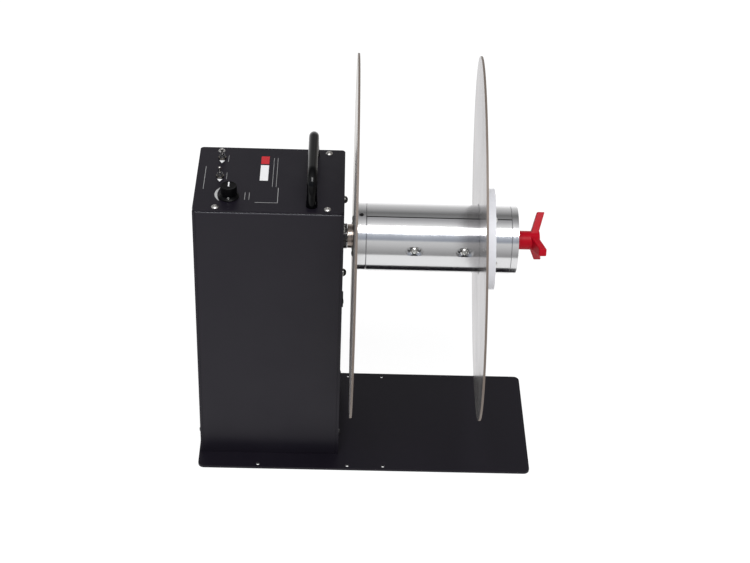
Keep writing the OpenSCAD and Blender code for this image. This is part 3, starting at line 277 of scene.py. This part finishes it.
def moulded(name, hex_colour, roughness, grain, strength, shine=0.5):
    """Plastic with an even grain, and a gloss that handling has moved a little."""
    material, tree, shader, place = start_finish(name, hex_colour, Specular_IOR_Level=shine)
    emboss(tree, shader, noise(tree, place, grain, detail=2.0), strength, depth=0.08)
    handling = noise(tree, place, HANDLING, detail=4.0)
    vary_roughness(tree, shader, handling, roughness - 0.05, roughness + 0.07)
    return material


def screen_ink(name, hex_colour):
    """Matt printing ink."""
    return moulded(name, hex_colour, 0.6, grain=0.6, strength=0.1)


red_nylon = moulded("moulded red nylon", "#a20319", 0.4, grain=0.9, strength=0.15, shine=0.12)
black_nylon = moulded("moulded black nylon", "#020203", 0.45, grain=0.8, strength=0.12, shine=0.1)
glossy_black = moulded("polished black nylon", "#030304", 0.1, grain=3, strength=0.04, shine=0.18)
white_acetal = moulded("turned white acetal", "#dfdfe3", 0.45, grain=1.2, strength=0.06)
belt_rubber = moulded("belt rubber", "#131313", 0.7, grain=0.8, strength=0.3)
board_mask = moulded("green solder mask", "#1f5b33", 0.35, grain=2, strength=0.1)
white_ink = screen_ink("white screen ink", "#dcdcdc")
grey_ink = screen_ink("grey screen ink", "#8a8a8a")
silver_ink = screen_ink("silver screen ink", "#a6a6a6")
red_ink = screen_ink("red screen ink", "#b3141f")
print("finishes:", red_nylon.name, white_acetal.name, red_ink.name)

# %% [markdown]
# ## Edges that catch the light
# No real edge is sharp: sheet steel is deburred, turned parts get a chamfer and plastic has a mould
# radius. The quickest honest way is to copy each solid, merge its loose triangles, clear the lines inside
# its flat faces, and bevel what is left that is sharp. Weighted normals then keep the flats flat.

# %% Helpers for pieces
SMOOTH_BELOW = math.radians(40)
SHARP_ABOVE = math.radians(32)
FLAT_WITHIN = math.radians(0.5)
MERGE_WITHIN = 0.001


def only(piece):
    """Selects one object alone."""
    bpy.ops.object.select_all(action="DESELECT")
    piece.select_set(True)
    bpy.context.view_layer.objects.active = piece


@contextmanager
def editing(piece):
    """Edit mode with everything in one piece selected."""
    only(piece)
    bpy.ops.object.mode_set(mode="EDIT")
    bpy.ops.mesh.select_all(action="SELECT")
    yield
    bpy.ops.object.mode_set(mode="OBJECT")


def modify(piece, kind, **settings):
    """Adds a modifier with its settings and applies it."""
    only(piece)
    modifier = piece.modifiers.new(kind, kind)
    for name, value in settings.items():
        setattr(modifier, name, value)
    bpy.ops.object.modifier_apply(modifier=modifier.name)


def smooth(piece):
    """Shades the curved faces smooth and keeps the flat ones flat."""
    only(piece)
    bpy.ops.object.shade_smooth_by_angle(angle=SMOOTH_BELOW)
    modify(piece, "WEIGHTED_NORMAL", keep_sharp=True)


def coat(piece, material):
    """Gives a piece one finish all over."""
    piece.data.materials.clear()
    piece.data.materials.append(material)


def stand_for(piece, node, material):
    """The piece shows in place of a solid: same body, its own finish."""
    coat(piece, material)
    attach(piece, body_of_node[node])
    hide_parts(node)


def merged_copy(node):
    """A copy of a solid whose loose triangles are merged into clean faces."""
    piece = bpy.data.objects.new(node + "_finished", nodes[node].data.copy())
    bpy.context.scene.collection.objects.link(piece)
    only(piece)
    bpy.ops.mesh.customdata_custom_splitnormals_clear()
    with editing(piece):
        bpy.ops.mesh.remove_doubles(threshold=MERGE_WITHIN * MM)
        bpy.ops.mesh.dissolve_limited(angle_limit=FLAT_WITHIN)
    return piece


def softened(node, edge, material, piece=None):
    """A copy of a solid with its sharp edges rounded, or a piece that started as one."""
    piece = piece or merged_copy(node)
    modify(piece, "BEVEL", width=edge * MM, segments=2, limit_method="ANGLE", angle_limit=SHARP_ABOVE)
    smooth(piece)
    stand_for(piece, node, material)
    return piece


print("helpers for pieces ready")

# %% [markdown]
# ## Sheet metal, screws and fittings
# Most pieces need only their own edge and finish. The list goes from the big plates to the small fittings.

# %% Softened copies of the solids
SOFT_EDGES = [
    # The base plate's dimmed powder is painted shade.
    (0.4, dimmed_powder, ["base_plate"]),
    (0.4, black_powder, ["left_side_plate", "right_side_plate", "rear_cover"]),
    (0.4, grooved_steel, ["drive_hub"]),
    (0.4, ground_steel, ["spindle_shaft"]),
    (0.15, zinc_plate, ["jaw_screws", "flange_screws", "end_cap_screws", "housing_screws"]),
    (0.15, satin_zinc, ["top_panel_screws"]),
    (0.15, dull_zinc, ["inner_disc_screws"]),
    (0.15, black_oxide, ["side_screws", "base_screws", "collar_set_screw"]),
    (0.2, dark_nickel, ["switch_nuts", "inlet_nut", "pot_nut"]),
    (0.1, chrome, ["range_switch_lever", "direction_switch_lever"]),
    (0.3, black_nylon, ["rocker_housing", "power_rocker", "power_inlet"]),
    (0.5, black_oxide, ["bearing_housing"]),
    (0.8, white_acetal, ["flange_hub"]),
    (0.5, glossy_black, ["carry_handle"]),
]
for edge, material, names in SOFT_EDGES:
    for node in names:
        softened(node, edge, material)
print("softened copies made:", sum(len(names) for edge, material, names in SOFT_EDGES))

# %% [markdown]
# ## The front cover's fold
# The front cover is one sheet, folded back at its top. Its fold, and the panel's front edge above it, are
# picked by the way they face and get a glossier powder whose lighter colour is a painted highlight.
# Together they draw a thin light line across the machine, just under the panel.

# %% Front cover and top panel
FOLD_FACING = 0.3
# A glossier copy of the powder, lighter in colour: the lighter colour is a painted highlight on the fold.
fold_highlight_powder = powder_coat("black powder with a painted highlight on the fold", "#201d26", roughness=0.18, shine=1.0)
for node, edge, coating in (("front_cover", 0.4, black_powder), ("top_panel", 0.5, dimmed_powder)):
    plate = softened(node, edge, coating)
    plate.data.materials.append(fold_highlight_powder)
    for face in plate.data.polygons:
        if face.normal.y < -FOLD_FACING and face.normal.z > FOLD_FACING:
            face.material_index = 1
    print(node, "fold faces:", sum(face.material_index for face in plate.data.polygons))

# %% [markdown]
# ## The chuck's joints
# The chuck's collar, jaws and end cap meet in two rings. The lathe hand breaks the corners there with a
# chamfer, which shows as a dark line beside a bright one. The corners are picked by their place: on the
# ring where two pieces meet, and near the chuck's full radius.

# %% Chuck
CHAMFER_FROM = 36
ON_THE_RING = 0.05
COLLAR_CHAMFER = 0.7
JAW_CHAMFER = 0.3
CHUCK_EDGE = 0.3


def chamfered(node, station, width):
    """A merged copy of a solid whose outer corners at one station of the spindle are chamfered."""
    piece = merged_copy(node)
    with editing(piece):
        bpy.ops.mesh.select_mode(type="EDGE")
        bpy.ops.mesh.select_all(action="DESELECT")
    places = [Vector(vertex.co) - SPINDLE for vertex in piece.data.vertices]
    for edge in piece.data.edges:
        ends = [places[i] for i in edge.vertices]
        outer = all(end.yz.length > CHAMFER_FROM * MM for end in ends)
        edge.select = outer and all(abs(end.x + SPINDLE.x - station) < ON_THE_RING * MM for end in ends)
    bpy.ops.object.mode_set(mode="EDIT")
    bpy.ops.mesh.bevel(offset=width * MM, segments=1, affect="EDGES")
    bpy.ops.object.mode_set(mode="OBJECT")
    return piece


LOW_END, HIGH_END = 0, 1
for node, end, width in (
    ("chuck_collar", HIGH_END, COLLAR_CHAMFER),
    ("jaw_1", LOW_END, JAW_CHAMFER),
    ("jaw_2", LOW_END, JAW_CHAMFER),
    ("jaw_3", LOW_END, JAW_CHAMFER),
    ("chuck_end_cap", LOW_END, JAW_CHAMFER),
):
    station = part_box(node)[end].x
    ring = softened(node, CHUCK_EDGE, turned_aluminium, chamfered(node, station, width))
    print(ring.name, "has", len(ring.data.polygons), "faces")

# %% [markdown]
# ## The discs and their rims
# A disc is sawn from sheet and its rim is left as the tool cut it, darker than the rolled faces. So each
# disc has two finishes: the rim's faces are picked by their place, near the full radius and facing
# outwards, and given the second one.

# %% Discs
RIM_FROM = 201
RIM_FACING = 0.6
DISC_EDGE = 0.3
for node, sheet in (("inner_disc", satin_aluminium), ("outer_disc", bright_aluminium)):
    disc = softened(node, DISC_EDGE, sheet)
    disc.data.materials.append(cut_rim)
    for face in disc.data.polygons:
        out = (face.center - Vector((face.center.x, 0, SPINDLE.z))).length
        if out > RIM_FROM * MM and abs(face.normal.x) < RIM_FACING:
            face.material_index = 1
    print(node, "rim faces:", sum(face.material_index for face in disc.data.polygons))

# %% [markdown]
# ## The pieces inside
# What sits inside the cabinet and the chuck keeps its solid's shape, and needs only a finish.

# %% Inner pieces
inner_finishes = {
    ground_steel: ["bearing_spacer", "shaft_collar", "front_bearing", "rear_bearing", "motor_shaft",
                   "scroll_shaft", "scroll_discs"],
    turned_aluminium: ["chuck_core", "spindle_pulley", "motor_pulley"],
    zinc_plate: ["handle_screws", "motor_screws", "board_screws", "board_standoffs", "pot_shaft"],
    motor_zinc: ["motor_body", "potentiometer", "range_switch_body", "direction_switch_body"],
    black_powder: ["motor_bracket"],
    belt_rubber: ["drive_belt"],
    board_mask: ["circuit_board"],
}
for material, names in inner_finishes.items():
    for node in names:
        coat(nodes[node], material)
print("inner pieces coated:", sum(len(names) for names in inner_finishes.values()))

# %% [markdown]
# ## The torque knob
# A small instrument knob with a flared skirt, a slightly tapered body, a dished top, a white pointer line
# and a set screw in its side. A turned shape can be drawn as a hand would: start with a filled circle,
# then extrude and resize it at each station up or down the axis. The last circle closes the hollow below.

# %% Torque knob
def turned(name, stations, sides=64):
    """A turned solid on Z: a filled circle, extruded and resized at each (height, radius) station."""
    bpy.ops.object.select_all(action="DESELECT")
    height, radius = (length * MM for length in stations[0])
    start = (0, 0, height)
    bpy.ops.mesh.primitive_circle_add(vertices=sides, radius=radius, fill_type="NGON", location=start)
    piece = bpy.context.object
    piece.name = name
    bpy.ops.object.transform_apply()
    with editing(piece):
        for station in stations[1:]:
            next_height, next_radius = (length * MM for length in station)
            rise = {"value": (0, 0, next_height - height)}
            bpy.ops.mesh.extrude_region_move(TRANSFORM_OT_translate=rise)
            share = next_radius / radius
            bpy.ops.transform.resize(value=(share, share, 1), center_override=(0, 0, next_height))
            height, radius = next_height, next_radius
        bpy.ops.mesh.select_all(action="SELECT")
        bpy.ops.mesh.normals_make_consistent(inside=False)
    return piece


def put(piece, matrix):
    """Moves a piece's mesh to its place and leaves the object at the origin."""
    piece.data.transform(matrix)
    piece.data.update()


knob_foot = Matrix.Translation(joints["torque_knob_turn"]["pos_m"])
knob_low, knob_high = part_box("torque_knob")
skirt_r = (knob_high.x - knob_low.x) / 2 / MM
knob_h = (knob_high.z - knob_foot.translation.z) / MM
knob_lift = (knob_low.z - knob_foot.translation.z) / MM
GRIP_R = 9
HOLLOW_R = 6.2
HOLLOW_H = 5.4
knob = turned("torque_knob_finished", [
    (knob_h - 0.5, GRIP_R - 2.6), (knob_h - 0.1, GRIP_R - 1.4), (knob_h, GRIP_R - 0.8),
    (knob_h - 0.2, GRIP_R - 0.3), (knob_h - 0.7, GRIP_R - 0.05), (knob_lift + 4, GRIP_R),
    (knob_lift + 2.6, skirt_r - 1.9), (knob_lift + 1.4, skirt_r - 0.9), (knob_lift + 0.5, skirt_r),
    (knob_lift, skirt_r - 0.3), (knob_lift, HOLLOW_R), (HOLLOW_H, HOLLOW_R),
])
put(knob, knob_foot)
smooth(knob)
stand_for(knob, "torque_knob", black_nylon)
print("torque knob", round(2 * skirt_r, 1), "mm across its skirt")

# %% [markdown]
# ## The knob's pointer and set screw
# The pointer is a line of white paint in a slot on the knob's top. It starts near the middle and points to
# the back. The set screw shows as a bright ring round a small socket, low on the front.

# %% Pointer and set screw
def box_between(name, low, high, bevel):
    """A block between two corners, with its edges rounded."""
    bpy.ops.object.select_all(action="DESELECT")
    middle = [(a + b) / 2 * MM for a, b in zip(low, high)]
    bpy.ops.mesh.primitive_cube_add(size=1, location=middle)
    piece = bpy.context.object
    piece.name = name
    piece.scale = [(b - a) * MM for a, b in zip(low, high)]
    bpy.ops.object.transform_apply()
    modify(piece, "BEVEL", width=bevel * MM, segments=2)
    return piece


POINTER_W = 1.5
POINTER_START = -1.5
POINTER_END = 6.4
POINTER_SUNK = 1.2
POINTER_PROUD = 0.1
pointer_low = (-POINTER_W / 2, POINTER_START, knob_h - POINTER_SUNK)
pointer_high = (POINTER_W / 2, POINTER_END, knob_h + POINTER_PROUD)
pointer = box_between("torque_knob_pointer", pointer_low, pointer_high, bevel=0.1)
put(pointer, knob_foot)
coat(pointer, white_ink)
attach(pointer, "torque_knob")

SET_SCREW_UP = 3.7
SET_SCREW_R = 9.6
set_screw = turned("torque_knob_set_screw", [
    (-1, 1.5), (0.2, 1.5), (0.4, 1.2), (0.4, 0.7), (0, 0.6),
], sides=24)
facing_front = Matrix.Rotation(math.radians(90), 4, "X")
put(set_screw, knob_foot @ Matrix.Translation((0, -SET_SCREW_R * MM, SET_SCREW_UP * MM)) @ facing_front)
smooth(set_screw)
coat(set_screw, zinc_plate)
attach(set_screw, "torque_knob")
print("pointer and set screw on the torque knob")

# %% [markdown]
# ## The red chuck knob
# A moulded knob with a round stem and three thick arms that lean away from the chuck. Its corners flow
# into each other, which bevels alone can't do. So the solid is turned into one even lump by a voxel remesh
# and smoothed until every inner corner is a fillet and every outer one is rounded.

# %% Chuck knob
VOXEL = 0.4
SMOOTH_ROUNDS = 25
chuck_knob = merged_copy("chuck_knob")
modify(chuck_knob, "REMESH", mode="VOXEL", voxel_size=VOXEL * MM)
modify(chuck_knob, "SMOOTH", factor=0.5, iterations=SMOOTH_ROUNDS)
only(chuck_knob)
bpy.ops.object.shade_smooth()
stand_for(chuck_knob, "chuck_knob", red_nylon)
print("chuck knob has", len(chuck_knob.data.polygons), "faces")

# %% [markdown]
# ## The printing on the panel
# The panel is screen printed. Its marks are thin layers of ink, so each one is a thin plate on the panel:
# a crescent that swells round the torque knob, an arrowhead in front of each switch, thin rules, and a
# plain two-tone stripe. Marks of one colour are joined, since one screen prints them at once.

# %% Helpers for ink
panel_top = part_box("top_panel")[1].z / MM
INK = 0.08


def bar(name, x0, y0, x1, y1):
    """A bar of ink between two corners."""
    return box_between(name, (x0, y0, panel_top), (x1, y1, panel_top + INK), bevel=0.02)


def disc_of_ink(x, y, r, sides, turn=0.0, overlap=0.0):
    """A flat plate with a number of sides, such as a round or a triangle."""
    bpy.ops.object.select_all(action="DESELECT")
    size = {"vertices": sides, "radius": r * MM, "depth": (INK + overlap) * MM}
    middle = (x * MM, y * MM, (panel_top + INK / 2) * MM)
    bpy.ops.mesh.primitive_cylinder_add(**size, location=middle, rotation=(0, 0, turn))
    bpy.ops.object.transform_apply()
    return bpy.context.object


def printed(name, marks, ink):
    """Joins marks into one layer of ink on the panel."""
    only(marks[0])
    for mark in marks:
        mark.select_set(True)
    if len(marks) > 1:
        bpy.ops.object.join()
    layer = bpy.context.object
    layer.name = name
    coat(layer, ink)
    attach(layer, "cabinet")
    print(name, "has", len(marks), "marks")


print("panel's top is", round(panel_top, 1), "mm up")

# %% [markdown]
# ## The marks, colour by colour
# The crescent is a disc with a bigger disc bitten out of it. The arrowheads are cylinders with three
# sides, and they take their places from the hinges of the switches behind them. The rules and the stripe
# are bars between two corners.

# %% Panel marks
CRESCENT_Y = -31.4
ROUND = 128
crescent = disc_of_ink(-154.1, CRESCENT_Y, 17, ROUND)
bite = disc_of_ink(-135.7, CRESCENT_Y, 32.3, ROUND, overlap=1)
modify(crescent, "BOOLEAN", operation="DIFFERENCE", object=bite, solver="EXACT")
bpy.data.objects.remove(bite)

switch_x, direction_y = (joints["direction_lever_flip"]["pos_m"][i] / MM for i in (0, 1))
range_y = joints["range_lever_flip"]["pos_m"][1] / MM
TO_FRONT = math.radians(180)
ARROW_AHEAD = 6.6
STRIPE_LEFT, STRIPE_RIGHT = -124, -115
RULES = {
    "rule_along": (-127.2, -46.2, -102.6, -45.5),
    "rule_across": (-103.3, -45.5, -102.6, -16.5),
    "fine_rule_1": (-110, -15, -109.5, 43),
    "fine_rule_2": (-105.8, -15, -105.3, 43),
    "torque_rule_1": (-138.6, -41, -138, -27),
    "torque_rule_2": (-134, -41, -133.4, -27),
    "range_rule": (-160.5, 33, -160, 46.5),
    "direction_rule": (-160.5, -2, -160, 11.5),
    "side_rule": (-184.3, -22, -183.7, 23),
}
printed("panel_print_white", [
    bar("stripe_white", STRIPE_LEFT, -3, STRIPE_RIGHT, 28),
    disc_of_ink(switch_x, direction_y - ARROW_AHEAD, 3.4, sides=3, turn=TO_FRONT),
    disc_of_ink(switch_x, range_y - ARROW_AHEAD, 3.6, sides=3, turn=TO_FRONT),
], white_ink)
printed("panel_print_silver", [crescent], silver_ink)
printed("panel_print_grey", [bar(name, *corners) for name, corners in RULES.items()], grey_ink)
printed("panel_print_red", [bar("stripe_red", STRIPE_LEFT, 30.5, STRIPE_RIGHT, 46)], red_ink)

# %% [markdown]
# ## The floor
# The portrait has a white floor that glows like a light table, so shadows stay faint and the base plate's
# holes show white. Mirror-like metal doesn't see the floor itself: it sees the room below, which has the
# same white, but ends in front of the machine as a table top does.

# %% Floor
FLOOR_SIZE_M = 8
FLOOR_DROP = 0.3
bpy.ops.object.select_all(action="DESELECT")
bpy.ops.mesh.primitive_plane_add(size=FLOOR_SIZE_M, location=(0, 0, -FLOOR_DROP * MM))
floor = bpy.context.object
floor.name = "floor"
glow = {"Emission_Color": linear("#ffffff"), "Emission_Strength": 0.9}
floor_paint = start_finish("white floor", "#747474", Roughness=0.9, Specular_IOR_Level=0.0, **glow)[0]
coat(floor, floor_paint)
floor.visible_glossy = False
print("floor", floor_paint.name)

# %% [markdown]
# ## The room
# The polished chuck is a strip mirror: it shows the whole room from the back, over the ceiling, to the
# table in front. So the room is painted as bands of grey round the spindle's axis, from the angle at which
# each is seen: 0 is the front, 90 is straight up and 180 is the back.

# %% Room
ROOM = [
    (-180, "#fafafa"), (-31, "#fafafa"), (-27, "#939393"), (21, "#dbdbdb"), (24.5, "#969ca6"),
    (46, "#bdc3cd"), (72, "#f2f2f2"), (99, "#a8a8aa"), (112, "#898989"), (125, "#747474"),
    (145, "#b4b4b4"), (166, "#d5d5d5"), (179, "#ebebeb"),
]
ROOM_STRENGTH = 1.2

room = bpy.data.worlds.new("studio room")
room.use_nodes = True
tree = room.node_tree
look = add(tree, "ShaderNodeTexCoord", {}).outputs["Generated"]
split = add(tree, "ShaderNodeSeparateXYZ", {0: look})
towards = add(tree, "ShaderNodeMath", {0: split.outputs["Y"], 1: -1.0}, operation="MULTIPLY")
angle = add(tree, "ShaderNodeMath", {0: split.outputs["Z"], 1: towards.outputs[0]}, operation="ARCTAN2")
whole_turn = {"Value": angle.outputs[0], "From Min": -math.pi, "From Max": math.pi}
share = add(tree, "ShaderNodeMapRange", whole_turn)
bands = add(tree, "ShaderNodeValToRGB", {0: share.outputs["Result"]})
ramp = bands.color_ramp.elements
while len(ramp) < len(ROOM):
    ramp.new(0.5)
for stop, (degrees, grey) in zip(ramp, ROOM):
    stop.position = (degrees + 180) / 360
    stop.color = linear(grey)
background = tree.nodes["Background"]
background.inputs["Strength"].default_value = ROOM_STRENGTH
tree.links.new(bands.outputs["Color"], background.inputs["Color"])
bpy.context.scene.world = room
print("room has", len(ROOM), "stops of grey")

# %% [markdown]
# ## The softbox
# One softbox stands in front, high up, and makes the long white highlight on the chuck. Standard colour
# keeps the hex values above as they are.

# %% Softbox
SOFTBOX_AT_M = Vector((0, -1.13, 2.16))
SOFTBOX_AIM_M = Vector((0.03, 0, 0.275))
SOFTBOX_WIDTH_M = 1.2
SOFTBOX_DEPTH_M = 0.77
SOFTBOX_WATTS = 38

softbox = bpy.data.lights.new("front softbox", "AREA")
softbox.shape = "RECTANGLE"
softbox.size = SOFTBOX_WIDTH_M
softbox.size_y = SOFTBOX_DEPTH_M
softbox.energy = SOFTBOX_WATTS
lamp = bpy.data.objects.new("front softbox", softbox)
bpy.context.scene.collection.objects.link(lamp)
lamp.location = SOFTBOX_AT_M
lamp.rotation_euler = (SOFTBOX_AIM_M - SOFTBOX_AT_M).to_track_quat("-Z", "Y").to_euler()
bpy.context.scene.view_settings.view_transform = "Standard"
print("softbox of", SOFTBOX_WATTS, "watts")
